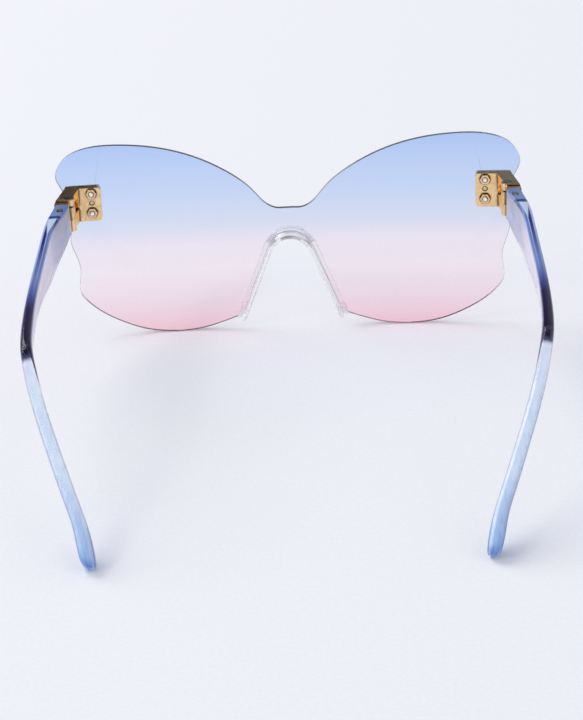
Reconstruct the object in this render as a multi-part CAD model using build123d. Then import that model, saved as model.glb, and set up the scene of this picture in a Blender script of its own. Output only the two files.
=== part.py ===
from build123d import *
import os
from math import asin, atan2, cos, degrees, hypot, radians, sin, sqrt, tan

# Butterfly sunglasses. One rimless lens spans both eyes, a clear saddle grips its nose
# notch, and two gold brackets are bolted to its back. Each carries a moulded temple on
# a vertical hinge screw. Millimetres: the front faces -Y, the temples run to +Y, +Z is
# up, and +X is the wearer's left. The glasses stand as they are laid on a table, on the
# two lower wings of the lens and on the temple tips. The origin is on the table, under
# the middle of the whole outline.

# Lens. Its outline is drawn flat, across from the middle and up from the hinge line.
lens_half_width = 74.0
lens_rise = 17.5
lens_drop = 45.4
lens_thickness = 2.0
lens_radius = 1000.0
lens_lean = 8.0
bridge_drop = 5.25
bridge_flat = 3.6
brow_shares = [(0.104, -0.073), (0.155, 0.052), (0.257, 0.403), (0.42, 0.75), (0.57, 0.926),
               (0.73, 1.0), (0.878, 0.957), (0.953, 0.82), (0.99, 0.63), (1.0, 0.457)]
side_shares = [(0.983, 0.27), (0.957, 0.02), (0.947, -0.10), (0.953, -0.22), (0.954, -0.31),
               (0.937, -0.40), (0.923, -0.49), (0.930, -0.61), (0.925, -0.69), (0.902, -0.742)]
wing_shares = [(0.84, -0.83), (0.76, -0.905), (0.66, -0.969), (0.53, -1.0), (0.40, -0.985),
               (0.31, -0.945)]

# Nose notch of the lens: a round arch on two straight legs that splay outwards.
nose_arch_drop = 13.15
nose_arch_radius = 7.66
nose_splay = 22.1
nose_foot_drop = 40.6

# Nose saddle: a clear channel on the edge of the notch, with a wall that runs back.
saddle_grip = 1.5
saddle_wall = 1.2
saddle_flange = 0.8
saddle_depth = 5.0
saddle_foot = 0.9

# Hinge bracket: a plate on the back of the lens and an arm that runs back from it.
bracket_hole_inset = 11.2
plate_inner_reach = 3.0
plate_fold_reach = 3.7
plate_corner_round = 1.2
plate_thickness = 2.6
bracket_rise = 5.6
bracket_fall = 5.2
arm_front_width = 3.5
arm_shoulder_width = 4.7
arm_shoulder_back = 5.0
gasket_thickness = 0.4
gasket_inset = 0.3
dimple_radius = 0.9
dimple_depth = 0.3
peg_radius = 0.7
peg_length = 1.2

# Screws, washers and nuts that clamp each bracket to the lens.
screw_radius = 0.7
screw_pitch = 6.2
screw_head_radius = 1.35
screw_head_height = 0.9
screw_head_round = 0.35
screw_end_proud = 0.45
screw_end_round = 0.25
drive_slot_width = 0.4
drive_slot_depth = 0.45
washer_radius = 1.8
washer_thickness = 0.4
nut_across_flats = 2.9
nut_height = 1.2
nut_corner_round = 0.15

# Hinge: two knuckles of the bracket hold one knuckle of the temple leaf on a screw.
hinge_reach = 6.3
hinge_back = 12.1
knuckle_radius = 2.0
knuckle_top_height = 2.35
slot_height = 4.2
slot_front_back = 5.4
slot_side_reach = 0.6
slot_neck_reach = 2.0
fork_outer_wall = 1.45
ring_radius = 1.8
ring_rise = 0.15
hinge_screw_radius = 0.7
hinge_head_radius = 1.15
hinge_head_height = 0.8
hinge_screw_short = 0.5

# Temple leaf: a knuckle, a shoulder that shows as a gold band, and a tang in the plastic.
leaf_knuckle_radius = 2.1
leaf_neck_inner = 1.7
leaf_neck_outer = 1.9
leaf_shoulder_thickness = 2.2
leaf_tang_inset = 2.2
leaf_tang_thickness = 1.2
leaf_tang_height = 5.0
leaf_tang_length = 6.0
leaf_tooth_width = 2.0
leaf_tooth_length = 2.5
leaf_tooth_setback = 2.2
leaf_tooth_sunk = 0.6

# Temple: a tall moulded blade with a belly near the hinge and a slim end that turns
# down and in behind the ear.
temple_front_width = 4.6
temple_front_height = 10.4
temple_outer_proud = 0.2
temple_top_sink = 0.35
temple_run = 132.4
temple_bend_run = 83.5
temple_fall_share = 0.09
temple_bend_round = 15.0
temple_sway = 17.0
temple_belly = 13.8
temple_ear_height = 6.2
temple_ear_blade = 4.2
temple_front_edge = 0.24
temple_ear_edge = 0.47
temple_edge_reach = 0.5
tip_narrowing = 0.8

# Sections hung from the top line of the temple: how far along it, how far out or in as
# a share of the sway, width as a share of the ear's, height as a share of the belly's.
blade_shares = [(-0.02, 0.0, 1.095, 0.754), (0.0, 0.0, 1.095, 0.754), (0.021, 0.03, 1.14, 0.79),
                (0.048, 0.07, 1.06, 0.90), (0.079, 0.10, 0.92, 0.975), (0.124, 0.115, 0.75, 1.0),
                (0.18, 0.122, 0.71, 0.94), (0.248, 0.13, 0.71, 0.79), (0.331, 0.14, 0.725, 0.61),
                (0.414, 0.138, 0.75, 0.495), (0.483, 0.12, 0.785, 0.456), (0.538, 0.088, 0.81, 0.449),
                (0.580, 0.046, 0.835, 0.449), (0.621, -0.014, 0.86, 0.449), (0.676, -0.124, 0.90, 0.449),
                (0.745, -0.30, 0.94, 0.449), (0.814, -0.50, 0.965, 0.449),
                (0.883, -0.706, 0.985, 0.449), (0.945, -0.89, 1.0, 0.449), (1.0, -1.0, 1.0, 0.449)]
tip_turns = [30, 52, 68, 80]

# Fits, and the overrun that lets a cut pass clean through a face.
saddle_gap = 0.05
hole_gap = 0.1
thread_gap = 0.02
hinge_gap = 0.05
slot_gap = 0.15
overrun = 5.0

lean = radians(lens_lean)
splay = radians(nose_splay)


def lens_point(across_share, up_share):
    """A point of the lens outline from its shares of the half width and of rise or drop."""
    reach = lens_rise if up_share > 0 else lens_drop
    return (across_share * lens_half_width, up_share * reach)


def lens_sag(across, offset=0):
    """How far the lens, or a sheet `offset` behind it, has curved back at a place."""
    radius = lens_radius - offset
    return offset + radius - sqrt(radius ** 2 - across ** 2)


# The lens leans forwards at the top, and its front rim is what touches the table.
foot_across = max(wing_shares, key=lambda pair: -pair[1])[0] * lens_half_width
hinge_level = lens_drop * cos(lean) + (lens_thickness - lens_sag(foot_across)) * sin(lean)
lens_frame = Pos(0, 0, hinge_level) * Rot(lens_lean, 0, 0)

# Frame of the left bracket on the back of the lens: Y to the back, Z up the lens.
bracket_hole_across = lens_half_width - bracket_hole_inset
bracket_turn = asin(bracket_hole_across / lens_radius)
bracket_frame = (lens_frame * Pos(bracket_hole_across, lens_sag(bracket_hole_across), 0)
                 * Rot(0, 0, degrees(bracket_turn)))
plate_back = gasket_thickness + plate_thickness
screw_places = {"upper": screw_pitch / 2, "lower": -screw_pitch / 2}

# Places of the arm, the hinge and the front end of the temple.
fold_across = bracket_hole_across + plate_fold_reach
hinge_across = bracket_hole_across + hinge_reach
arm_outer_across = hinge_across + leaf_knuckle_radius + slot_gap + fork_outer_wall
hinge_top = hinge_level + bracket_rise * cos(lean)
hinge_foot = hinge_level - bracket_fall * cos(lean)
slot_top = hinge_top - knuckle_top_height
slot_foot = slot_top - slot_height
shoulder_back = hinge_back + knuckle_radius + hinge_gap
temple_front = shoulder_back + leaf_shoulder_thickness
temple_outer = arm_outer_across + temple_outer_proud
leaf_tang_across = temple_outer - leaf_tang_inset
temple_inner = temple_outer - temple_front_width
temple_top = hinge_top - temple_top_sink
temple_foot = temple_top - temple_front_height


def curved_sheet(front, back, half_width):
    """A sheet along the lens, from `front` before its back face to `back` behind it."""
    def row(offset):
        side = lens_sag(half_width, offset)
        return [(-half_width, side), (0, lens_sag(0, offset)), (half_width, side)]

    outer, inner = row(-front), row(back)
    edge = ThreePointArc(*outer) + Line(outer[-1], inner[-1])
    edge += ThreePointArc(*reversed(inner)) + Line(inner[0], outer[0])
    return extrude(make_face(edge), 2 * (lens_rise + lens_drop), both=True)


def nose_curve(offset):
    """The notch line moved out by `offset`: its crown, haunch and the spring of its leg."""
    radius = nose_arch_radius + offset
    centre = -nose_arch_drop - nose_arch_radius
    haunch = (radians(90) + splay) / 2
    return [(0, centre + radius),
            (radius * cos(haunch), centre + radius * sin(haunch)),
            (radius * cos(splay), centre + radius * sin(splay))]


def nose_foot(offset, drop):
    """Where a leg of the notch line, moved out by `offset`, reaches down to `drop`."""
    across, up = nose_curve(offset)[2]
    return (across + (up + drop) * tan(splay), -drop)


def both_halves(half):
    """A flat face from the right half of its outline, mirrored across the middle."""
    return make_face(half + mirror(half, about=Plane.YZ))


def upright(face, front, back):
    """A flat outline stood up in the lens frame, solid from `front` to `back`."""
    return Pos(0, back, 0) * extrude(Plane.XZ * face, front + back)


def lens_outline():
    """The outline of the whole lens, in the plane of the lens."""
    edge = [lens_point(*pair) for pair in brow_shares + side_shares + wing_shares]
    foot = nose_foot(0, nose_foot_drop)
    crown, haunch, spring = nose_curve(0)
    dip = [(across * bridge_flat, -bridge_drop) for across in (0, 1 / 2, 1)]
    half = Spline(dip + edge + [foot])
    half += Line(foot, spring)
    half += ThreePointArc(spring, haunch, crown)
    return both_halves(half)


def rod(radius, start, end):
    """A round rod along Y from `start` to `end`."""
    return Pos(0, end, 0) * extrude(Plane.XZ * Circle(radius), end - start)


def block(low, high):
    """A box between two corners."""
    size = [b - a for a, b in zip(low, high)]
    return Pos(*low) * Box(*size, align=(Align.MIN, Align.MIN, Align.MIN))


def prism(points, foot, top):
    """An upright prism over a plan outline."""
    return Pos(0, 0, foot) * extrude(make_face(Polyline(points, close=True)), top - foot)


def hinge_post(radius, foot, top):
    """An upright round post on the hinge line."""
    align = (Align.CENTER, Align.CENTER, Align.MIN)
    return Pos(hinge_across, hinge_back, foot) * Cylinder(radius, top - foot, align=align)


def build_lens():
    """The one-piece lens with the holes for screws and pegs."""
    blank = upright(lens_outline(), lens_radius / 2, lens_radius / 2)
    lens = lens_frame * (blank & curved_sheet(lens_thickness, 0, 2 * lens_half_width))
    drill = rod(screw_radius + hole_gap, -lens_thickness - overrun, overrun)
    peg_drill = rod(peg_radius + hole_gap, -lens_thickness - overrun, overrun)
    holes = [bracket_frame * Pos(0, 0, height) * drill for height in screw_places.values()]
    holes.append(bracket_frame * peg_drill)
    for hole in holes:
        lens -= hole
        lens -= mirror(hole, about=Plane.YZ)
    return lens


def build_saddle():
    """The clear nose saddle: flanges before and behind the lens edge, and a wall."""
    def band(outer, inner):
        drop = nose_foot_drop + saddle_foot
        far, near = nose_curve(outer), nose_curve(inner)
        far_foot, near_foot = nose_foot(outer, drop), nose_foot(inner, drop)
        half = ThreePointArc(*far) + Line(far[2], far_foot)
        half += Line(far_foot, near_foot) + Line(near_foot, near[2])
        half += ThreePointArc(*reversed(near))
        return both_halves(half)

    front = lens_thickness + saddle_flange
    wall = upright(band(-saddle_gap, -saddle_gap - saddle_wall), front, saddle_depth)
    grip = upright(band(saddle_grip, -saddle_gap), front, saddle_flange)
    groove = curved_sheet(lens_thickness + saddle_gap, saddle_gap, lens_half_width)
    return lens_frame * (wall + (grip - groove))


def build_bracket():
    """The left bracket: plate, arm, two knuckles and the peg that locates it."""
    far = lens_drop
    behind = block((-far, gasket_thickness, -far), (far, far, far))
    level = block((-far, -far, hinge_foot), (2 * far, far, hinge_top))
    plate = block((-plate_inner_reach, gasket_thickness, -far),
                  (plate_fold_reach + plate_thickness / 2, plate_back, far))
    plate = (bracket_frame * plate) & level
    ends = plate.faces().sort_by(Axis.X)[0].edges()
    plate = fillet([edge for edge in ends if edge.length < 2 * plate_thickness], plate_corner_round)
    heel = hinge_back + knuckle_radius
    arm = prism([(fold_across, -overrun), (fold_across, arm_shoulder_back),
                 (hinge_across - knuckle_radius / 2, hinge_back), (hinge_across, heel),
                 (arm_outer_across, heel),
                 (fold_across + arm_shoulder_width, arm_shoulder_back),
                 (fold_across + arm_front_width, -overrun)], hinge_foot, hinge_top)
    bracket = plate + (arm & (bracket_frame * behind))
    bracket += hinge_post(knuckle_radius, hinge_foot, hinge_top)
    bracket += hinge_post(ring_radius, hinge_top - ring_rise, hinge_top + ring_rise)
    slot = block((0, slot_front_back, slot_foot),
                 (hinge_across + slot_side_reach, 2 * heel, slot_top))
    slot += block((0, hinge_back, slot_foot), (hinge_across + slot_neck_reach, 2 * heel, slot_top))
    slot += hinge_post(leaf_knuckle_radius + slot_gap, slot_foot, slot_top)
    bracket -= slot
    bracket -= hinge_post(hinge_screw_radius + thread_gap, hinge_foot - overrun, hinge_top + overrun)
    bracket -= hinge_post(hinge_head_radius + hole_gap, hinge_top - hinge_head_height,
                          hinge_top + overrun)
    drill = rod(screw_radius + thread_gap, -overrun, plate_back + overrun)
    for height in screw_places.values():
        bracket -= bracket_frame * Pos(0, 0, height) * drill
    bracket -= bracket_frame * rod(dimple_radius, plate_back - dimple_depth, plate_back + overrun)
    bracket += bracket_frame * rod(peg_radius, -peg_length, plate_back - 2 * dimple_depth)
    return bracket


def build_gasket():
    """The clear cushion between the lens and the plate, curved to the lens in front."""
    low = (gasket_inset - plate_inner_reach, -gasket_thickness, gasket_inset - bracket_fall)
    high = (plate_fold_reach + arm_front_width - gasket_inset, gasket_thickness,
            bracket_rise - gasket_inset)
    pad = bracket_frame * block(low, high)
    pad -= lens_frame * curved_sheet(lens_thickness, 0, 2 * lens_half_width)
    drill = rod(screw_radius + hole_gap, -overrun, overrun)
    for height in screw_places.values():
        pad -= bracket_frame * Pos(0, 0, height) * drill
    return pad - bracket_frame * rod(peg_radius + hole_gap, -overrun, overrun)


def build_lens_screw():
    """A round-headed screw that comes through the lens from the front."""
    seat = -lens_thickness - washer_thickness
    tip = plate_back + nut_height + screw_end_proud
    head = rod(screw_head_radius, seat - screw_head_height, seat)
    head = fillet(head.edges().group_by(Axis.Y)[0], screw_head_round)
    shank = rod(screw_radius, seat, tip)
    shank = fillet(shank.edges().group_by(Axis.Y)[-1], screw_end_round)
    slot = block((-screw_head_radius, seat - screw_head_height - overrun, -drive_slot_width / 2),
                 (screw_head_radius, seat - screw_head_height + drive_slot_depth,
                  drive_slot_width / 2))
    return head + shank - slot


def build_washer():
    """The clear washer under a screw head."""
    outer = rod(washer_radius, -lens_thickness - washer_thickness, -lens_thickness)
    return outer - rod(screw_radius + hole_gap, -lens_thickness - overrun, 0)


def build_nut():
    """A hexagon nut on the back of the plate."""
    hexagon = RegularPolygon(nut_across_flats / 2, 6, major_radius=False)
    nut = Pos(0, plate_back + nut_height, 0) * extrude(Plane.XZ * hexagon, nut_height)
    nut = fillet(nut.edges().group_by(Axis.Y)[-1], nut_corner_round)
    return nut - rod(screw_radius + thread_gap, plate_back - overrun, plate_back + nut_height + overrun)


def build_hinge_screw():
    """The vertical screw that is the pivot of the left hinge."""
    seat = hinge_top - hinge_head_height
    screw = hinge_post(hinge_screw_radius, hinge_foot + hinge_screw_short, seat)
    head = hinge_post(hinge_head_radius, seat, hinge_top)
    slot = block((hinge_across - hinge_head_radius, hinge_back - drive_slot_width / 2,
                  hinge_top - drive_slot_depth),
                 (hinge_across + hinge_head_radius, hinge_back + drive_slot_width / 2,
                  hinge_top + overrun))
    return screw + head - slot


def tang_blocks(tooth_top):
    """The tang and its tooth, which stand in the plastic of the temple."""
    middle = (slot_top + slot_foot) / 2
    tang = block((leaf_tang_across - leaf_tang_thickness / 2, temple_front, middle - leaf_tang_height / 2),
                 (leaf_tang_across + leaf_tang_thickness / 2, temple_front + leaf_tang_length,
                  middle + leaf_tang_height / 2))
    start = temple_front + leaf_tooth_setback
    tooth = block((leaf_tang_across - leaf_tooth_width / 2, start, middle),
                  (leaf_tang_across + leaf_tooth_width / 2, start + leaf_tooth_length, tooth_top))
    return tang + tooth


def build_leaf():
    """The metal leaf of the left temple: knuckle, neck, shoulder, tang and tooth."""
    foot, top = slot_foot + hinge_gap, slot_top - hinge_gap
    knuckle = hinge_post(leaf_knuckle_radius, foot, top)
    neck = block((hinge_across - leaf_neck_inner, hinge_back, foot),
                 (hinge_across + leaf_neck_outer, temple_front, top))
    neck -= block((hinge_across - leaf_neck_inner, shoulder_back, foot), (temple_inner, temple_front, top))
    shoulder = block((temple_inner, shoulder_back, temple_foot), (temple_outer, temple_front, temple_top))
    leaf = knuckle + neck + shoulder + tang_blocks(temple_top - leaf_tooth_sunk)
    return leaf - hinge_post(hinge_screw_radius + hinge_gap, hinge_foot, hinge_top)


def top_line():
    """The top edge of the temple from the side, down to where the round tip begins."""
    radius = temple_ear_height / 2
    tip = (temple_front + temple_run - radius, radius)
    bend = (temple_front + temple_bend_run, temple_top - temple_fall_share * temple_bend_run)
    reach = hypot(tip[0] - bend[0], bend[1] - tip[1])
    dive = atan2(bend[1] - tip[1], tip[0] - bend[0]) - asin(radius / reach)
    over = (tip[0] + radius * sin(dive), tip[1] + radius * cos(dive))
    return FilletPolyline((temple_front, temple_top), bend, over, radius=temple_bend_round)


def temple_section(line, along, sway, width, height, hang):
    """A section across the temple that hangs from its top line, rounder towards the ear."""
    inside = min(max(along, 0), line.length)
    way = line.tangent_at(inside, position_mode=PositionMode.LENGTH)
    spot = line.position_at(inside, position_mode=PositionMode.LENGTH) + way * (along - inside)
    middle = (temple_outer + sway * temple_sway - width / 2, spot.X + way.Y * hang,
              spot.Y - way.X * hang)
    plane = Plane(origin=middle, x_dir=(1, 0, 0), z_dir=(0, way.X, way.Y))
    ear_like = min(inside / line.length / temple_edge_reach, 1)
    edge = temple_front_edge + ear_like * (temple_ear_edge - temple_front_edge)
    return plane * RectangleRounded(width, height, edge * min(width, height))


def build_temple():
    """The left temple, drawn through its sections, with the pocket for the leaf."""
    line = top_line()
    sections = []
    for along, sway, blade, belly in blade_shares:
        width, height = blade * temple_ear_blade, belly * temple_belly
        sections.append(temple_section(line, along * line.length, sway, width, height, height / 2))
    radius = temple_ear_height / 2
    drift = (blade_shares[-1][1] - blade_shares[-2][1]) / (blade_shares[-1][0] - blade_shares[-2][0])
    for turn in tip_turns:
        ahead = radius * sin(radians(turn))
        sway = blade_shares[-1][1] + drift * ahead / line.length
        narrow = temple_ear_blade * cos(radians(turn)) ** tip_narrowing
        sway -= (temple_ear_blade - narrow) / 2 / temple_sway
        sections.append(temple_section(line, line.length + ahead, sway, narrow,
                                       temple_ear_height * cos(radians(turn)), radius))
    temple = loft(sections)
    temple -= block((0, 0, 0), (2 * temple_outer, temple_front, 2 * temple_top))
    return temple - tang_blocks(temple_top + overrun)


nodes = {"shield_lens": build_lens(), "nose_saddle": build_saddle()}
sides = {"bracket": build_bracket(), "gasket": build_gasket(),
         "hinge_screw": build_hinge_screw(), "hinge_leaf": build_leaf(),
         "temple": build_temple()}
fasteners = {"lens_screw": build_lens_screw(), "washer": build_washer(),
             "nut": build_nut()}
for name, piece in fasteners.items():
    for place, height in screw_places.items():
        sides[name + "_" + place] = bracket_frame * Pos(0, 0, height) * piece
for name, piece in sides.items():
    nodes[name + "_left"] = piece
    nodes[name + "_right"] = mirror(piece, about=Plane.YZ)

# The origin moves under the middle of the outline.
reach = [piece.bounding_box() for piece in nodes.values()]
middle_back = (min(box.min.Y for box in reach) + max(box.max.Y for box in reach)) / 2
os.makedirs("parts", exist_ok=True)
for name, piece in nodes.items():
    export_step(Pos(0, -middle_back, 0) * piece, "parts/" + name + ".step")
print("hinge line across, back:", hinge_across, hinge_back - middle_back)
print("middle of the outline behind the lens:", middle_back)
print("hinge line level, top and foot of the bracket:", hinge_level, hinge_top, hinge_foot)
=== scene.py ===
# %% [markdown]
# # Butterfly sunglasses with a one-piece gradient lens
# The frame of this model comes from CAD: 24 solids, each where it belongs, and two hinges.
# This lesson dresses them. It sets up the camera and a small photo table, then gives each
# piece the finish of the real thing: dyed polycarbonate, clear silicone, gold plating,
# bright steel and moulded two-tone temples.

# %% Load the frame
import bpy
from math import cos, radians, sin
from mathutils import Matrix, Vector


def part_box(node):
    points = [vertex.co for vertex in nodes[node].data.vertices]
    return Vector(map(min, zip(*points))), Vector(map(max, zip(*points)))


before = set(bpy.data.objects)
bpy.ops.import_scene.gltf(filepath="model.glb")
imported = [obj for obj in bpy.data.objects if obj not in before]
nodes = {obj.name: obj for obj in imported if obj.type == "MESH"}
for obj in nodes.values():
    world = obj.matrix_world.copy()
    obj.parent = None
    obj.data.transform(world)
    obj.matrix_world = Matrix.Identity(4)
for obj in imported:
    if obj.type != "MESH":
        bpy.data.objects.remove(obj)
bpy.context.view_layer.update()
mm = 0.001

# %% [markdown]
# ## The camera
# The photograph looks at the glasses from behind and above, from a good arm's length away,
# with a long lens, so the lines hardly converge. A camera is three directions and a place:
# here they are written out, because they were found by matching the corners of the lens,
# the four nuts and the temple tips, and a Track To constraint would add nothing. Colours
# are shown as they are written, so the view transform is Standard.

# %% Place the camera
camera_place = Vector((-14.24, 503.88, 284.13)) * mm
camera_ahead = Vector((0.02415655, -0.8870041, -0.46112925))
camera_up = Vector((-0.03454925, -0.46172903, 0.88634793))
camera_right = camera_ahead.cross(camera_up)
camera = bpy.data.objects.new("camera", bpy.data.cameras.new("camera"))
bpy.context.scene.collection.objects.link(camera)
camera.matrix_world = Matrix((camera_right, camera_up, -camera_ahead)).transposed().to_4x4()
camera.location = camera_place
camera.data.sensor_width = 36.0
camera.data.lens = 97.0
camera.data.clip_start = 10 * mm
bpy.context.scene.camera = camera
bpy.context.scene.view_settings.view_transform = "Standard"
print("camera height above the table in mm:", round(camera.location.z / mm))

# %% [markdown]
# ## A helper for colours and one for nodes
# Colours are chosen as sRGB hex values, the way a screen shows them, but Blender's shaders
# count in linear light. One function turns the first into the second. Another adds a shader
# node with its settings and its links in a single call. A Mix node has several hidden
# sockets with the same name, one for each kind of data, so its colour sockets are reached
# by their place in the list, and those places get names here.

# %% Turn colours to linear light and add nodes
share_in, first_in, second_in, colour_out = 0, 6, 7, 2


def linear(code):
    """An sRGB hex colour as linear red, green, blue and alpha."""
    parts = [int(code[k:k + 2], 16) / 255 for k in (1, 3, 5)]
    parts = [v / 12.92 if v <= 0.04045 else ((v + 0.055) / 1.055) ** 2.4 for v in parts]
    return (*parts, 1.0)


def add(tree, kind, links=None, **settings):
    """A node of that kind. links gives input: value or output socket, settings its options."""
    node = tree.nodes.new("ShaderNode" + kind)
    for key, value in settings.items():
        setattr(node, key, value)
    for key, value in (links or {}).items():
        if isinstance(value, bpy.types.NodeSocket):
            tree.links.new(value, node.inputs[key])
        else:
            node.inputs[key].default_value = value
    return node


print("a middle grey in linear light:", [round(v, 3) for v in linear("#808080")[:3]])

# %% [markdown]
# ## The table
# The glasses lie on a sheet of pale paper that fills the picture. Paper is matt with a faint
# tooth, so it is a diffuse surface with a fine noise in its colour. Real tooth is about a
# tenth of a millimetre wide and would not show, so it is drawn ten times as coarse. Three
# more helpers come first: one starts an empty material, one puts colours on a ramp, and one
# turns the real size of a pattern in millimetres into the Scale that a texture wants.

# %% Make the paper
def new_material(name):
    """An empty node material, its tree and its output node."""
    material = bpy.data.materials.new(name)
    material.use_nodes = True
    tree = material.node_tree
    tree.nodes.clear()
    return material, tree, add(tree, "OutputMaterial")


def fill_ramp(ramp, stops):
    """Puts hex colours on a colour ramp, each at its place from 0 to 1."""
    marks = ramp.color_ramp.elements
    for mark, (place, code) in ((marks[1], stops[-1]), (marks[0], stops[0])):
        mark.position = place
        mark.color = linear(code)
    for place, code in stops[1:-1]:
        marks.new(place).color = linear(code)


def per_metre(size_mm):
    """The Scale of a texture whose features are this many millimetres wide."""
    return 1 / (size_mm * mm)


tooth_mm = 10 / 9
paper, tree, out = new_material("matt_white_paper")
spot = add(tree, "TexCoord")
fibre = add(tree, "TexNoise", {"Vector": spot.outputs["Object"], "Scale": per_metre(tooth_mm),
                               "Detail": 4.0})
tone = add(tree, "ValToRGB", {"Fac": fibre.outputs["Fac"]})
fill_ramp(tone, [(0.3, "#E8E9ED"), (0.7, "#ECEDF1")])
sheet = add(tree, "BsdfPrincipled", {"Base Color": tone.outputs["Color"], "Roughness": 0.9,
                                     "Specular IOR Level": 0.1})
tree.links.new(sheet.outputs["BSDF"], out.inputs["Surface"])
print("paper tooth in mm:", round(tooth_mm, 1))

# %% Lay the table under the glasses
table_half = 4.0
table = bpy.data.meshes.new("paper_table")
corners = [(-table_half, -table_half, 0), (table_half, -table_half, 0),
           (table_half, table_half, 0), (-table_half, table_half, 0)]
table.from_pydata(corners, [], [(0, 1, 2, 3)])
table.materials.append(paper)
table_piece = bpy.data.objects.new("paper_table", table)
bpy.context.scene.collection.objects.link(table_piece)
print("table across in m:", 2 * table_half)

# %% [markdown]
# ## The room
# Polished metal and clear plastic show their surroundings, so the room matters as much as
# the lamps. It is pale, a little darker towards the floor. Beyond the lens stands a dark
# card: photographers put one there for jewellery, because gold with nothing dark to show
# looks flat. It is drawn in the room's colour, as a soft patch in one direction.

# %% Paint the room and the card
room_strength = 0.75
card_way, card_rim, card_full = (0.2, -0.87, 0.45), 0.90, 0.98
room = bpy.data.worlds.new("studio_room")
room.use_nodes = True
bpy.context.scene.world = room
tree = room.node_tree
tree.nodes.clear()
out = add(tree, "OutputWorld")
spot = add(tree, "TexCoord")
height = add(tree, "SeparateXYZ", {"Vector": spot.outputs["Generated"]})
tone = add(tree, "ValToRGB", {"Fac": height.outputs["Z"]})
fill_ramp(tone, [(0.0, "#C6C8D0"), (0.5, "#E0E2EA"), (1.0, "#F4F6FC")])
card_turn = add(tree, "VectorMath", {0: spot.outputs["Generated"], 1: card_way},
                operation="DOT_PRODUCT")
card = add(tree, "MapRange", {"Value": card_turn.outputs["Value"], "From Min": card_rim,
                              "From Max": card_full})
card_tone = add(tree, "ValToRGB", {"Fac": height.outputs["Z"]})
fill_ramp(card_tone, [(0.3, "#2C1E15"), (0.38, "#4C3A2B"), (0.46, "#857A7B"),
                      (0.68, "#A8A2A4")])
room_tone = add(tree, "Mix", {share_in: card.outputs["Result"], first_in: tone.outputs["Color"],
                              second_in: card_tone.outputs["Color"]}, data_type="RGBA")
glow = add(tree, "Background", {"Color": room_tone.outputs[colour_out],
                                "Strength": room_strength})
tree.links.new(glow.outputs["Background"], out.inputs["Surface"])
print("the card stands towards:", card_way)

# %% [markdown]
# ## The lamps
# The light is what a small product table has. Seen in the picture, a wide soft window stands
# beyond the glasses to the left, so the shadows fall softly towards the right and the
# camera. It is large and far off, which keeps the light even over the whole table. On the
# camera's side a weak lamp fills in from the right, and a small one on the left draws white
# lines along rounded edges. The pale room gives the rest.

# %% Hang the lamps
glasses_middle = Vector((0.0, 0.0, 0.02))


def soft_light(name, place, size, watts, tint):
    """A square softbox at a place in metres that points at the middle of the glasses."""
    lamp = bpy.data.lights.new(name, "AREA")
    lamp.shape = "SQUARE"
    lamp.size = size
    lamp.energy = watts
    lamp.color = linear(tint)[:3]
    holder = bpy.data.objects.new(name, lamp)
    bpy.context.scene.collection.objects.link(holder)
    holder.location = place
    aim = glasses_middle - holder.location
    holder.rotation_mode = "QUATERNION"
    holder.rotation_quaternion = aim.to_track_quat("-Z", "Y")


soft_light("window_light", place=(3.0, -2.45, 3.55), size=3.55, watts=174.0, tint="#FFFDFB")
soft_light("fill_light", place=(-1.5, 1.2, 1.6), size=1.4, watts=2.5, tint="#F6F8FF")
soft_light("edge_light", place=(1.2, 0.6, 1.2), size=0.35, watts=3.5, tint="#FFFFFF")

# %% [markdown]
# ## The lens: dyed polycarbonate
# The lens is one sheet of polycarbonate, dipped in dye so that the colour runs from blue at
# the brow through a nearly clear belt to pink at the foot. It is clear, so it wants a
# glass-like shader at polycarbonate's index of 1.58, tinted by height. A ramp over the
# height of the lens holds the dye, because dipping gives level bands of colour.

# %% Dye the lens
lens_low, lens_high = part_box("shield_lens")
lens_plastic, tree, out = new_material("dyed_polycarbonate")
spot = add(tree, "TexCoord")
place = add(tree, "SeparateXYZ", {"Vector": spot.outputs["Object"]})
level = add(tree, "MapRange", {"Value": place.outputs["Z"], "From Min": lens_low.z,
                               "From Max": lens_high.z})
dye = add(tree, "ValToRGB", {"Fac": level.outputs["Result"]})
fill_ramp(dye, [(0.0, "#FFD9E1"), (0.07, "#FFE1E8"), (0.18, "#FFECF1"), (0.33, "#FFF5F8"),
                (0.46, "#FBF2F9"), (0.56, "#E6EBF8"), (0.72, "#D4E3FB"), (0.88, "#C8DCFC"),
                (1.0, "#BAD2F9")])
print("lens height in mm:", round((lens_high.z - lens_low.z) / mm, 1))

# %% [markdown]
# The cut edge of a dyed sheet looks darker than its face, because the eye looks along the
# sheet and through much more dye. Glass shaders that tint only at the surface miss that, so
# the edge gets its own deeper tint, and it is ground, so it passes less light. It is found
# by direction: on the two faces the surface looks along the lens axis, on the edge across it.

# %% Darken the cut edge of the lens
lens_lean = radians(8)
lens_axis = (0.0, cos(lens_lean), sin(lens_lean))
face_cosine, edge_cosine = 0.97, 0.85
facing = add(tree, "VectorMath", {0: spot.outputs["Normal"], 1: lens_axis},
             operation="DOT_PRODUCT")
flatness = add(tree, "Math", {0: facing.outputs["Value"]}, operation="ABSOLUTE")
edge = add(tree, "MapRange", {"Value": flatness.outputs["Value"], "From Min": face_cosine,
                              "From Max": edge_cosine})
edge_dye = add(tree, "ValToRGB", {"Fac": level.outputs["Result"]})
fill_ramp(edge_dye, [(0.0, "#5A2F40"), (0.45, "#4A4658"), (1.0, "#39435C")])
tint = add(tree, "Mix", {share_in: edge.outputs["Result"], first_in: dye.outputs["Color"],
                         second_in: edge_dye.outputs["Color"]}, data_type="RGBA")
print("lens axis:", [round(v, 3) for v in lens_axis])

# %% [markdown]
# A thin anti-glare coat keeps the reflections weak, which is Specular Tint's part here. A
# very faint waviness in the surface, about a hundredth of a degree over a centimetre or so,
# stops the sheen from looking computed.

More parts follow.
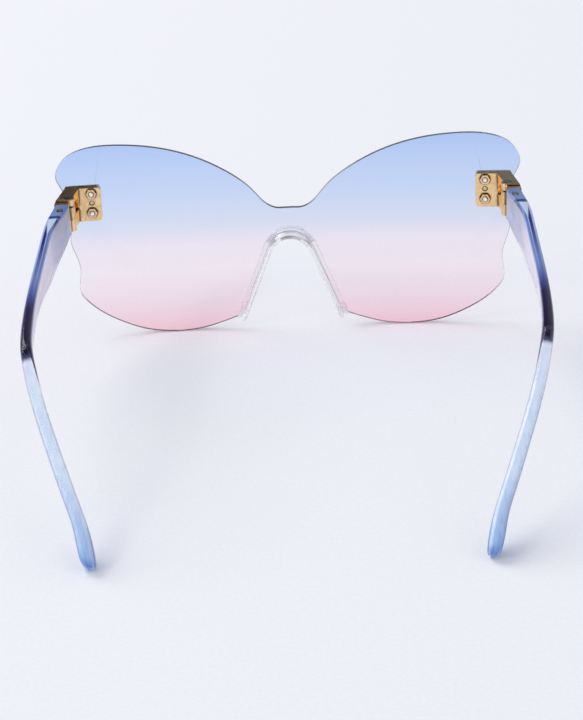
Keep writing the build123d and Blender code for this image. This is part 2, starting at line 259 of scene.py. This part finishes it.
# %% Polish the lens
wave_mm, ground_clearness = 50 / 3, 0.45
wave = add(tree, "TexNoise", {"Vector": spot.outputs["Object"], "Scale": per_metre(wave_mm),
                              "Detail": 1.0})
ripple = add(tree, "Bump", {"Height": wave.outputs["Fac"], "Strength": 0.02,
                            "Distance": 0.05 * mm})
frost = add(tree, "MapRange", {"Value": edge.outputs["Result"], "To Min": 1.0,
                               "To Max": ground_clearness})
gloss = add(tree, "BsdfPrincipled", {"Base Color": tint.outputs[colour_out],
                                     "Roughness": 0.015, "IOR": 1.58,
                                     "Specular Tint": linear("#686C72"),
                                     "Transmission Weight": frost.outputs["Result"],
                                     "Normal": ripple.outputs["Normal"]})
print("light passed at the ground edge:", ground_clearness)

# %% [markdown]
# Real tinted plastic also lets tinted light through onto the table. Path tracing that
# through glass is slow and noisy, so rays from lamps, and those that gather light for the
# table, meet a plain transparent shader instead. Such a ray crosses two faces of a piece and
# is tinted at both, so each face has half of the tint. A tint that is one colour all over
# goes straight onto the shader's own socket, and only a varying one needs a Mix node.

# %% Let lamp rays through clear plastic
tint_per_face = 0.5


def let_lamps_through(tree, out, gloss, tint, share=1.0):
    """Joins the glass-like shader to the output, with a plain tinted one for lamp rays.
    tint is a colour or an output socket, and share is how much of their light goes through."""
    if isinstance(tint, bpy.types.NodeSocket):
        paler = add(tree, "Mix", {share_in: tint_per_face, first_in: tint,
                                  second_in: linear("#FFFFFF")}, data_type="RGBA")
        weak_tint = paler.outputs[colour_out]
    else:
        weak_tint = [v + (1.0 - v) * tint_per_face for v in tint]
    clear = add(tree, "BsdfTransparent", {"Color": weak_tint})
    ray = add(tree, "LightPath")
    lamp_ray = add(tree, "Math", {0: ray.outputs["Is Shadow Ray"],
                                  1: ray.outputs["Is Diffuse Ray"]}, operation="MAXIMUM")
    part = add(tree, "Math", {0: lamp_ray.outputs["Value"], 1: share}, operation="MULTIPLY")
    mix = add(tree, "MixShader", {0: part.outputs["Value"], 1: gloss.outputs["BSDF"],
                                  2: clear.outputs["BSDF"]})
    tree.links.new(mix.outputs["Shader"], out.inputs["Surface"])


def dress(material, *names):
    """Gives the named CAD nodes this material in every slot."""
    for name in names:
        slots = nodes[name].data.materials
        if len(slots) == 0:
            slots.append(material)
        for index in range(len(slots)):
            slots[index] = material


let_lamps_through(tree, out, gloss, tint.outputs[colour_out])
dress(lens_plastic, "shield_lens")
print("lens dressed in", lens_plastic.name)

# %% [markdown]
# ## Clear silicone and nylon
# The nose saddle is soft clear silicone, moulded and a little cloudy, so it is glass-like
# with a low index of 1.42, a glossy surface and a breath of white in it. The washers and
# the cushions under the plates are clear nylon: the same idea, milkier and drier. All of
# them are thin, so they also let lamp rays through. The saddle's thick feet trap light and
# glow, and that glow is painted: the clearness falls off towards them, which turns them a
# milky white.

# %% Make the clear plastics
foot_clearness, foot_fade_mm = 0.35, 3
least_haze, most_haze = 0.7, 1.4


def clear_plastic(name, tint_code, roughness, index, cloud, grain_mm, foot_mm=None):
    """A see-through moulded plastic. cloud is the share of light it scatters at once, and
    foot_mm, if given, the height above the table up to which its thick ends turn a milky
    white that paints the glow of trapped light."""
    material, tree, out = new_material(name)
    spot = add(tree, "TexCoord")
    skin = add(tree, "TexNoise", {"Vector": spot.outputs["Object"], "Scale": per_metre(grain_mm),
                                  "Detail": 2.0})
    bump = add(tree, "Bump", {"Height": skin.outputs["Fac"], "Strength": 0.06,
                              "Distance": 0.02 * mm})
    haze = add(tree, "MapRange", {"Value": skin.outputs["Fac"], "To Min": roughness * least_haze,
                                  "To Max": roughness * most_haze})
    clearness = 1.0 - cloud
    # The feet get a painted glow: their clearness drops, so they show as milky white.
    if foot_mm is not None:
        place = add(tree, "SeparateXYZ", {"Vector": spot.outputs["Object"]})
        above_foot = add(tree, "MapRange", {"Value": place.outputs["Z"],
                                            "From Min": foot_mm * mm,
                                            "From Max": (foot_mm + foot_fade_mm) * mm,
                                            "To Min": foot_clearness, "To Max": clearness})
        clearness = above_foot.outputs["Result"]
    body = add(tree, "BsdfPrincipled", {"Base Color": linear(tint_code), "IOR": index,
                                        "Roughness": haze.outputs["Result"],
                                        "Transmission Weight": clearness,
                                        "Normal": bump.outputs["Normal"]})
    let_lamps_through(tree, out, body, linear(tint_code))
    return material


silicone = clear_plastic("clear_moulded_silicone", "#FFFFFF", roughness=0.02, index=1.42,
                         cloud=0.03, grain_mm=1.6, foot_mm=4.5)
nylon = clear_plastic("clear_nylon", "#F6F8FB", roughness=0.12, index=1.53,
                      cloud=0.25, grain_mm=0.8)
dress(silicone, "nose_saddle")
nylon_parts = [n for n in nodes if n.startswith(("washer", "gasket"))]
dress(nylon, *nylon_parts)
print("nylon pieces:", len(nylon_parts))

# %% [markdown]
# ## Painted shade in the corners of the metal
# The corners round the nuts and knuckles and the gaps between parts get painted shade, which
# draws each part's outline in dark brown. Ambient occlusion, which measures how sheltered a
# point is, finds them. It is used twice on the gold: once wide and brown, once narrow and nearly
# black.
# them. It is used twice on the gold: once wide and brown, once narrow and nearly black.

# %% Paint shade into the corners of metal parts
wide_reach, fine_reach = 2.2, 0.7
side_on, face_on = -0.5, -0.8


def corner_shade(tree, unshaded_colour, shade_code, reach_mm, closed, free):
    """The unshaded colour with shade painted into corners that are tighter than reach_mm.
    closed and free are the shares of open sky where the painted shade is at its thickest
    and where it ends. Front faces lie flat on their cushions and get no painted shade."""
    shelter = add(tree, "AmbientOcclusion", {"Distance": reach_mm * mm}, samples=8)
    open_share = add(tree, "MapRange", {"Value": shelter.outputs["AO"], "From Min": closed,
                                        "From Max": free})
    spot = add(tree, "TexCoord")
    face = add(tree, "SeparateXYZ", {"Vector": spot.outputs["Normal"]})
    front = add(tree, "MapRange", {"Value": face.outputs["Y"], "From Min": side_on,
                                   "From Max": face_on})
    unshaded_share = add(tree, "Math", {0: open_share.outputs["Result"],
                                     1: front.outputs["Result"]}, operation="MAXIMUM")
    shaded_colour = add(tree, "Mix", {share_in: unshaded_share.outputs["Value"],
                              first_in: linear(shade_code), second_in: unshaded_colour}, data_type="RGBA")
    return shaded_colour.outputs[colour_out]


print("painted_shade reaches from a corner in mm:", wide_reach, fine_reach)

# %% [markdown]
# ## Gold plating
# The brackets, hinge leaves and nuts are brass, polished and plated pale gold. It is a
# metal, so its colour is its reflection, and what tells the eye that it is polished is that
# it mirrors the room. Plating follows the metal under it, so it keeps the faint waves of
# hand polishing, a few millimetres wide, and fine hairlines that catch the light. Real
# hairlines are a hundredth of a millimetre wide and would not show, so they are wider here.

# %% Plate the brackets, leaves and nuts
polish_mm = 2.5
hairline_mm = (1 / 6, 2.5, 10 / 9)
smooth_gold, worn_gold = 0.10, 0.2
gold, tree, out = new_material("pale_gold_plating")
spot = add(tree, "TexCoord")
swirl = add(tree, "TexNoise", {"Vector": spot.outputs["Object"], "Scale": per_metre(polish_mm),
                               "Detail": 3.0, "Distortion": 0.6})
hairlines = add(tree, "Mapping", {"Vector": spot.outputs["Object"],
                                  "Scale": [per_metre(v) for v in hairline_mm]})
scratch = add(tree, "TexNoise", {"Vector": hairlines.outputs["Vector"], "Scale": 1.0,
                                 "Detail": 2.0})
tone = add(tree, "ValToRGB", {"Fac": swirl.outputs["Fac"]})
fill_ramp(tone, [(0.3, "#F7CE92"), (0.7, "#FCDAA8")])
wear = add(tree, "MapRange", {"Value": scratch.outputs["Fac"], "From Min": 0.3, "From Max": 0.7,
                              "To Min": smooth_gold, "To Max": worn_gold})
waves = add(tree, "Bump", {"Height": swirl.outputs["Fac"], "Strength": 0.8,
                           "Distance": 0.14 * mm})
# Two coats of painted shade go into the gold: a wide brown one in the wider corners and a
# narrow, nearly black one in the tightest corners and gaps. plating is the gold colour with
# both.
gold_with_wide_shade = corner_shade(tree, tone.outputs["Color"], "#7A5A34", wide_reach, closed=0.4, free=0.72)
plating = corner_shade(tree, gold_with_wide_shade, "#1C1008", fine_reach, closed=0.62, free=0.98)
metal = add(tree, "BsdfPrincipled", {"Base Color": plating, "Metallic": 1.0,
                                     "Roughness": wear.outputs["Result"],
                                     "Normal": waves.outputs["Normal"]})
tree.links.new(metal.outputs["BSDF"], out.inputs["Surface"])
gold_parts = [n for n in nodes if n.startswith(("bracket", "hinge_leaf", "nut"))]
dress(gold, *gold_parts)
print("plated pieces:", gold_parts)

# %% [markdown]
# ## Bright steel
# The screws are small turned parts, nickel plated and tumbled bright. Their ends show in the
# nuts as little mirrors: a white cap of sky and a dark rim. Turning leaves rings that are
# too fine to show at this size, so a noise a few tenths of a millimetre wide stands for them.

# %% Polish the screws
ring_mm = 0.4
smooth_steel, dull_steel = 0.05, 0.14
steel, tree, out = new_material("bright_nickelled_steel")
spot = add(tree, "TexCoord")
turned = add(tree, "TexNoise", {"Vector": spot.outputs["Object"], "Scale": per_metre(ring_mm),
                                "Detail": 2.0})
tone = add(tree, "ValToRGB", {"Fac": turned.outputs["Fac"]})
fill_ramp(tone, [(0.3, "#F2F3F6"), (0.7, "#FCFCFD")])
wear = add(tree, "MapRange", {"Value": turned.outputs["Fac"], "To Min": smooth_steel,
                              "To Max": dull_steel})
# The screws get the narrow painted shade in their corners too, which darkens the rim round their
# ends.
bright = corner_shade(tree, tone.outputs["Color"], "#1C1612", fine_reach, closed=0.6, free=0.95)
metal = add(tree, "BsdfPrincipled", {"Base Color": bright, "Metallic": 1.0,
                                     "Roughness": wear.outputs["Result"]})
tree.links.new(metal.outputs["BSDF"], out.inputs["Surface"])
steel_parts = [n for n in nodes if n.startswith(("lens_screw", "hinge_screw"))]
dress(steel, *steel_parts)
print("steel pieces:", len(steel_parts))

# %% [markdown]
# ## The temples
# Each temple is moulded in a clear cellulose plastic, the usual one for spectacle frames,
# with an index near 1.49. It is dyed along its length: blue at the hinge, a violet so deep
# that it is nearly black at the waist, and clear ice blue over the ear. The dark layer lies
# along the outer side, and the inner side is a milky layer that looks lavender over it. So
# the colour depends on two things, how far along the temple a point lies and which way the
# surface faces there, and both can be read off the piece itself. Left and right mirror each
# other, so the sign of x says which way is out.

# %% Find the place along and across a temple
temple_low, temple_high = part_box("temple_left")
temple_long = temple_high.y - temple_low.y
temple_plastic, tree, out = new_material("two_tone_moulded_temple")
spot = add(tree, "TexCoord")
place = add(tree, "SeparateXYZ", {"Vector": spot.outputs["Object"]})
face = add(tree, "SeparateXYZ", {"Vector": spot.outputs["Normal"]})
along = add(tree, "MapRange", {"Value": place.outputs["Y"], "From Min": temple_low.y,
                               "From Max": temple_high.y})
side = add(tree, "Math", {0: place.outputs["X"]}, operation="SIGN")
outward = add(tree, "Math", {0: face.outputs["X"], 1: side.outputs["Value"]},
              operation="MULTIPLY")
across = add(tree, "Math", {0: place.outputs["X"]}, operation="ABSOLUTE")
print("temple length in mm:", round(temple_long / mm, 1))

# %% [markdown]
# The deep colour stops just past the bend, in a long point: on the inner edge it runs on for
# a few millimetres, so there the ramps are read a little further forward. Places along the
# temple are shares of its length, from 0 at the hinge to 1 at the tip.

# %% Draw the dark part out to a point
dark_end, tip_start = 0.612, 0.84
point_start, point_full, point_long = 0.5, 0.6, 0.07
inward_start, inward_full = -0.35, -0.95
late = add(tree, "MapRange", {"Value": along.outputs["Result"], "From Min": point_start,
                              "From Max": point_full, "To Max": point_long})
turned_in = add(tree, "MapRange", {"Value": outward.outputs["Value"],
                                   "From Min": inward_start, "From Max": inward_full})
delay = add(tree, "Math", {0: late.outputs["Result"], 1: turned_in.outputs["Result"]},
            operation="MULTIPLY")
dye_place = add(tree, "Math", {0: along.outputs["Result"], 1: delay.outputs["Value"]},
                operation="SUBTRACT")
print("dark part ends at mm from the front:", round(dark_end * temple_long / mm))

# %% [markdown]
# The colours are three ramps along the temple, one for each way the surface can face: out,
# in or up. The outer and the inner side have the same clear ear part, from the dark end on.

# %% Dye the two sides along their length
dark_blur = 0.004
dark_stop, clear_stop = dark_end - dark_blur, dark_end + dark_blur
ear_dye = [(clear_stop, "#E4ECF8"), (tip_start, "#DCE6F6"), (1.0, "#8CB0E4")]
outer_dye = add(tree, "ValToRGB", {"Fac": dye_place.outputs["Value"]})
fill_ramp(outer_dye, [(0.0, "#84A2DA"), (0.08, "#5B77C2"), (0.33, "#4D60AE"),
                      (0.46, "#2E2454"), (dark_stop, "#221A3E")] + ear_dye)
inner_dye = add(tree, "ValToRGB", {"Fac": dye_place.outputs["Value"]})
fill_ramp(inner_dye, [(0.0, "#C4DEFC"), (0.03, "#D8DCEA"), (0.1, "#DCD8E4"), (0.24, "#F6EEF8"),
                      (0.42, "#FBF8FD"), (0.54, "#CCC8E6"), (dark_stop, "#8A82B4")] + ear_dye)
print("dye fades over mm:", round((clear_stop - dark_stop) * temple_long / mm, 1))

# %% [markdown]
# From above, the temple shows its layers side by side, as a cut cake does: a thin grey line
# where the outer skin turns over, a pale clear strip, the navy core, a light line and the
# blue inner layer. The grey line is painted shade of the rounded edge, and the light line a
# painted highlight along the glassy top. So the top needs the distance from the outer side.
# The outer side is a shallow curve, and a Float Curve node follows it with a handful of points.

# %% Lay the layers side by side on the top
outer_start, outer_swing, layer_span = 73.0 * mm, 17.0 * mm, 5.0 * mm
outer_line = add(tree, "FloatCurve", {"Value": along.outputs["Result"]})
bends = outer_line.mapping.curves[0].points
for x, y in [(0.048, 0.07), (0.124, 0.115), (0.248, 0.13), (0.414, 0.138), (0.54, 0.088)]:
    bends.new(x, y)
bends[0].location = (0.0, 0.0)
bends[-1].location = (0.62, 0.0)
outer_line.mapping.update()
rim = add(tree, "MapRange", {"Value": outer_line.outputs["Value"], "To Min": outer_start,
                             "To Max": outer_start + outer_swing})
depth = add(tree, "Math", {0: rim.outputs["Result"], 1: across.outputs["Value"]},
            operation="SUBTRACT")
layer = add(tree, "MapRange", {"Value": depth.outputs["Value"], "From Max": layer_span})
layers = add(tree, "ValToRGB", {"Fac": layer.outputs["Result"]})
# Painted here: the grey line at 0.04 is shade of the rounded edge, the light line at 0.41 is a
# highlight. The other stops are the dyed layers.
fill_ramp(layers, [(0.04, "#8E9CC2"), (0.08, "#D2E2F8"), (0.17, "#A8C2F0"), (0.21, "#141E66"),
                   (0.36, "#1C2C7E"), (0.41, "#C6D8F8"), (0.46, "#506AB4"), (0.58, "#92A8DE"),
                   (0.64, "#5468A8"), (0.71, "#1C2A68"), (0.82, "#2A3A7C"), (0.95, "#6C7CB4")])
print("layers spread over mm:", layer_span / mm)

# %% [markdown]
# Along the top the layers change too. The front is a plain blue block round the metal tooth.
# Behind it the layers show in full, fade towards the waist, and from there on everything is
# deep violet. A black and white ramp says how much of the layers shows at each place.

# %% Fade the layers in and out along the top
top_dye = add(tree, "ValToRGB", {"Fac": dye_place.outputs["Value"]})
fill_ramp(top_dye, [(0.0, "#7890C4"), (0.06, "#8AA6DA"), (0.34, "#889ED6"), (0.42, "#4A569C"),
                    (0.47, "#2E2250"), (dark_stop, "#201838"), (clear_stop, "#F6FBFF"),
                    (tip_start, "#F0F7FF"), (1.0, "#BAD4F4")])
layered = add(tree, "ValToRGB", {"Fac": along.outputs["Result"]})
fill_ramp(layered, [(0.06, "#000000"), (0.075, "#FFFFFF"), (0.18, "#FFFFFF"),
                    (0.32, "#9A9A9A"), (0.44, "#000000")])
top_layers = add(tree, "Mix", {share_in: layered.outputs["Color"],
                               first_in: top_dye.outputs["Color"],
                               second_in: layers.outputs["Color"]}, data_type="RGBA")
print("dye steps on the top:", len(top_dye.color_ramp.elements))

# %% [markdown]
# A bright wedge is painted behind the block: the highlight where the mould's recess catches
# the light. It tapers to nothing, so its half width shrinks along the temple, and a point is
# inside it where its distance from the wedge's middle line is smaller than that. A dark joint
# line runs across in front of it.

# %% Paint the highlight wedge and the joint line onto the top
wedge_start, wedge_end = 0.068, 0.15
wedge_middle, wedge_half, wedge_blur = 1.9 * mm, 1.5 * mm, 0.25 * mm
taper = add(tree, "MapRange", {"Value": along.outputs["Result"], "From Min": wedge_start,
                               "From Max": wedge_end, "To Min": wedge_half, "To Max": 0.0})
off_middle = add(tree, "Math", {0: depth.outputs["Value"], 1: wedge_middle},
                 operation="SUBTRACT")
off_size = add(tree, "Math", {0: off_middle.outputs["Value"]}, operation="ABSOLUTE")
inside = add(tree, "Math", {0: taper.outputs["Result"], 1: off_size.outputs["Value"]},
             operation="SUBTRACT")
wedge = add(tree, "MapRange", {"Value": inside.outputs["Value"], "From Min": 0.0,
                               "From Max": wedge_blur})
behind = add(tree, "Math", {0: along.outputs["Result"], 1: wedge_start},
             operation="GREATER_THAN")
wedge_on = add(tree, "Math", {0: wedge.outputs["Result"], 1: behind.outputs["Value"]},
               operation="MULTIPLY")
# The painted highlight of the wedge goes onto the top here.
top_with_painted_highlight = add(tree, "Mix", {share_in: wedge_on.outputs["Value"],
                              first_in: top_layers.outputs[colour_out],
                              second_in: linear("#DDF0FE")}, data_type="RGBA")
joint = add(tree, "ValToRGB", {"Fac": along.outputs["Result"]})
fill_ramp(joint, [(0.052, "#000000"), (0.056, "#FFFFFF"), (0.062, "#FFFFFF"),
                  (0.066, "#000000")])
top = add(tree, "Mix", {share_in: joint.outputs["Color"],
                        first_in: top_with_painted_highlight.outputs[colour_out],
                        second_in: linear("#22306A")}, data_type="RGBA")
print("bright wedge in mm from the front:",
      [round(share * temple_long / mm, 1) for share in (wedge_start, wedge_end)])

# %% [markdown]
# On the inner side the milky layer stops short of the lower edge. Below it runs a clear
# margin with a thin grey line of painted shade where the rounded edge turns under. The lower
# edge is a long curve, so it gets a Float Curve of its own, from the belly up to the waist.

# %% Leave a clear margin along the lower edge
edge_low, edge_span, margin = 35.0 * mm, 5.0 * mm, 2.6 * mm
low_line = add(tree, "FloatCurve", {"Value": along.outputs["Result"]})
bends = low_line.mapping.curves[0].points
for x, y in [(0.045, 0.44), (0.085, 0.13), (0.125, 0.0), (0.20, 0.05), (0.35, 0.50),
             (0.42, 0.60)]:
    bends.new(x, y)
bends[0].location = (0.0, 0.9)
bends[-1].location = (0.5, 0.58)
low_line.mapping.update()
low_edge = add(tree, "MapRange", {"Value": low_line.outputs["Value"], "To Min": edge_low,
                                  "To Max": edge_low + edge_span})
rise = add(tree, "Math", {0: place.outputs["Z"], 1: low_edge.outputs["Result"]},
           operation="SUBTRACT")
margin_place = add(tree, "MapRange", {"Value": rise.outputs["Value"], "From Max": margin})
margin_and_edge_shade = add(tree, "ValToRGB", {"Fac": margin_place.outputs["Result"]})
# The first two stops are the painted shade of the edge turning under, the last one the edge of
# the milky layer.
fill_ramp(margin_and_edge_shade, [(0.0, "#5C6A9A"), (0.14, "#7C8AB4"), (0.24, "#F6F8FD"),
                       (0.82, "#FAFAFD"), (0.95, "#9094BE")])
print("clear margin in mm:", round(margin / mm, 1))

# %% [markdown]
# The margin shows only below its own height, and only between the belly and the waist. Two
# black and white ramps say so, and their product is the share of margin over milky layer.

# %% Join the margin to the inner side
margin_end = 0.5
margin_on = add(tree, "ValToRGB", {"Fac": margin_place.outputs["Result"]})
fill_ramp(margin_on, [(0.95, "#FFFFFF"), (0.99, "#000000")])
margin_run = add(tree, "ValToRGB", {"Fac": along.outputs["Result"]})
fill_ramp(margin_run, [(0.04, "#000000"), (0.12, "#FFFFFF"), (0.42, "#FFFFFF"),
                       (margin_end, "#000000")])
margin_share = add(tree, "Math", {0: margin_on.outputs["Color"],
                                  1: margin_run.outputs["Color"]}, operation="MULTIPLY")
inner = add(tree, "Mix", {share_in: margin_share.outputs["Value"],
                          first_in: inner_dye.outputs["Color"],
                          second_in: margin_and_edge_shade.outputs["Color"]}, data_type="RGBA")
print("margin ends at mm from the front:", round(margin_end * temple_long / mm))

# %% [markdown]
# Now the direction of the surface picks between out, in and up. The steps are soft, as
# layered plastic is at its rounded edges.

# %% Choose the colour by direction
top_start, top_full = 0.2, 0.75
outer_side_start, outer_side_full = -0.15, 0.25
level_face = add(tree, "Math", {0: face.outputs["Z"]}, operation="ABSOLUTE")
upward = add(tree, "MapRange", {"Value": level_face.outputs["Value"], "From Min": top_start,
                                "From Max": top_full})
outside = add(tree, "MapRange", {"Value": outward.outputs["Value"],
                                 "From Min": outer_side_start, "From Max": outer_side_full})
sides = add(tree, "Mix", {share_in: outside.outputs["Result"],
                          first_in: inner.outputs[colour_out],
                          second_in: outer_dye.outputs["Color"]}, data_type="RGBA")
dye_with_painted_lines = add(tree, "Mix", {share_in: upward.outputs["Result"],
                              first_in: sides.outputs[colour_out],
                              second_in: top.outputs[colour_out]}, data_type="RGBA")
print("nodes so far:", len(tree.nodes))

# %% [markdown]
# The surface is polished in the mould and by hand, with faint flow lines, about a
# millimetre wide and several centimetres long. On the ear part the rounded corners show a
# white line and the upright sides a grey-blue one, as the edges of a clear rod do in the
# light. Both are painted: the grey-blue line here is painted shade, and the white line is a
# painted highlight that comes from the milky corners further down.

# %% Draw the flow lines and the lines of the ear part
flow_mm = (10 / 9, 500 / 7, 10 / 3)
flow_share, ear_full = 0.7, dark_end + 0.03
flow = add(tree, "Mapping", {"Vector": spot.outputs["Object"],
                             "Scale": [per_metre(v) for v in flow_mm]})
streak = add(tree, "TexNoise", {"Vector": flow.outputs["Vector"], "Scale": 1.0, "Detail": 3.0})
streak_tone = add(tree, "ValToRGB", {"Fac": streak.outputs["Fac"]})
fill_ramp(streak_tone, [(0.35, "#E2EAF8"), (0.6, "#FFFFFF")])
side_turn = add(tree, "Math", {0: face.outputs["X"]}, operation="ABSOLUTE")
# Painted shade on the ear's upright sides, a grey-blue line, with the tops a touch paler.
ear_side_shade = add(tree, "ValToRGB", {"Fac": side_turn.outputs["Value"]})
fill_ramp(ear_side_shade, [(0.25, "#F0F7FF"), (0.5, "#FFFFFF"), (0.8, "#FFFFFF"), (0.95, "#8C9EC6")])
on_ear = add(tree, "MapRange", {"Value": dye_place.outputs["Value"], "From Min": dark_end,
                                "From Max": ear_full})
dye_with_side_shade = add(tree, "Mix", {share_in: on_ear.outputs["Result"],
                              first_in: dye_with_painted_lines.outputs[colour_out],
                              second_in: ear_side_shade.outputs["Color"]},
                data_type="RGBA", blend_type="MULTIPLY")
dye = add(tree, "Mix", {share_in: flow_share, first_in: dye_with_side_shade.outputs[colour_out],
                        second_in: streak_tone.outputs["Color"]},
          data_type="RGBA", blend_type="MULTIPLY")
print("flow lines in mm, across and along:", [round(v, 1) for v in flow_mm[:2]])

# %% [markdown]
# The front is dense with dye and passes about a third of the light, the ear part is clear,
# and the tip is milkier again. The clearness is full a little before the pale ear colour
# starts, because a pale colour that is not yet clear would show as a grey band. The rounded
# corners of the ear part are made milky from just behind the bend, which paints their white
# line, a highlight, so that it doesn't vanish against the table.

# %% Clear the ear part
clear_start = dark_end - 0.024
corner_highlight_start, corner_highlight_full = dark_end + 0.06, dark_end + 0.12
clearness = add(tree, "ValToRGB", {"Fac": dye_place.outputs["Value"]})
fill_ramp(clearness, [(clear_start, "#A0A0A0"), (dark_stop, "#FFFFFF"), (tip_start, "#FFFFFF"),
                      (1.0, "#A8A8A8")])
corner = add(tree, "ValToRGB", {"Fac": side_turn.outputs["Value"]})
fill_ramp(corner, [(0.3, "#000000"), (0.45, "#C8C8C8"), (0.7, "#C8C8C8"), (0.88, "#000000")])
past_bend = add(tree, "MapRange", {"Value": along.outputs["Result"], "From Min": corner_highlight_start,
                                   "From Max": corner_highlight_full})
# milky is the share of the painted highlight on the ear's rounded corners.
milky = add(tree, "Math", {0: corner.outputs["Color"], 1: past_bend.outputs["Result"]},
            operation="MULTIPLY")
clear_share = add(tree, "Math", {0: clearness.outputs["Color"], 1: milky.outputs["Value"]},
                  operation="SUBTRACT", use_clamp=True)
print("ear part is clear from mm:", round(dark_stop * temple_long / mm, 1))

# %% [markdown]
# The last node is the plastic itself. The pale room is large and would veil the deep dye,
# so Specular Tint tones its reflection down.

# %% Finish the temple material
bump = add(tree, "Bump", {"Height": streak.outputs["Fac"], "Strength": 0.1,
                          "Distance": 0.03 * mm})
body = add(tree, "BsdfPrincipled", {"Base Color": dye.outputs[colour_out], "Roughness": 0.05,
                                    "IOR": 1.49, "Specular Tint": linear("#606068"),
                                    "Transmission Weight": clear_share.outputs["Value"],
                                    "Normal": bump.outputs["Normal"]})
let_lamps_through(tree, out, body, dye.outputs[colour_out], clear_share.outputs["Value"])
dress(temple_plastic, "temple_left", "temple_right")
print("temples dressed in", temple_plastic.name)

# %% [markdown]
# ## Soften the edges
# Cast and tumbled metal has no sharp edges, and the thin bright line along a rounded edge is
# what tells the eye how small the part is. The lens has a small safety chamfer all round,
# which shows as a fine dark line, and silicone comes out of its mould well rounded. A Bevel
# modifier gives all of them. The imported meshes are split along their sharp edges, so a
# Weld modifier joins them first, and a Weighted Normal modifier then keeps flat faces flat.

# %% Round the edges
weld_mm, sharp_angle = 0.002, radians(35)
lens_chamfer_mm, saddle_edge_mm, nut_edge_mm, cast_edge_mm = 0.32, 0.45, 0.1, 0.15


def soften(name, radius_mm, segments=2):
    """Rounds the sharp edges of a CAD node, with modifiers only."""
    piece = nodes[name]
    weld = piece.modifiers.new("join", "WELD")
    weld.merge_threshold = weld_mm * mm
    bevel = piece.modifiers.new("soft_edges", "BEVEL")
    bevel.width = radius_mm * mm
    bevel.segments = segments
    bevel.limit_method = "ANGLE"
    bevel.angle_limit = sharp_angle
    bevel.use_clamp_overlap = True
    flats = piece.modifiers.new("flat_faces_stay_flat", "WEIGHTED_NORMAL")
    flats.keep_sharp = True
    flats.weight = 100


soften("shield_lens", lens_chamfer_mm)
soften("nose_saddle", saddle_edge_mm, segments=3)
for name in gold_parts:
    soften(name, nut_edge_mm if name.startswith("nut") else cast_edge_mm)
print("softened:", sum(1 for n in nodes if nodes[n].modifiers))
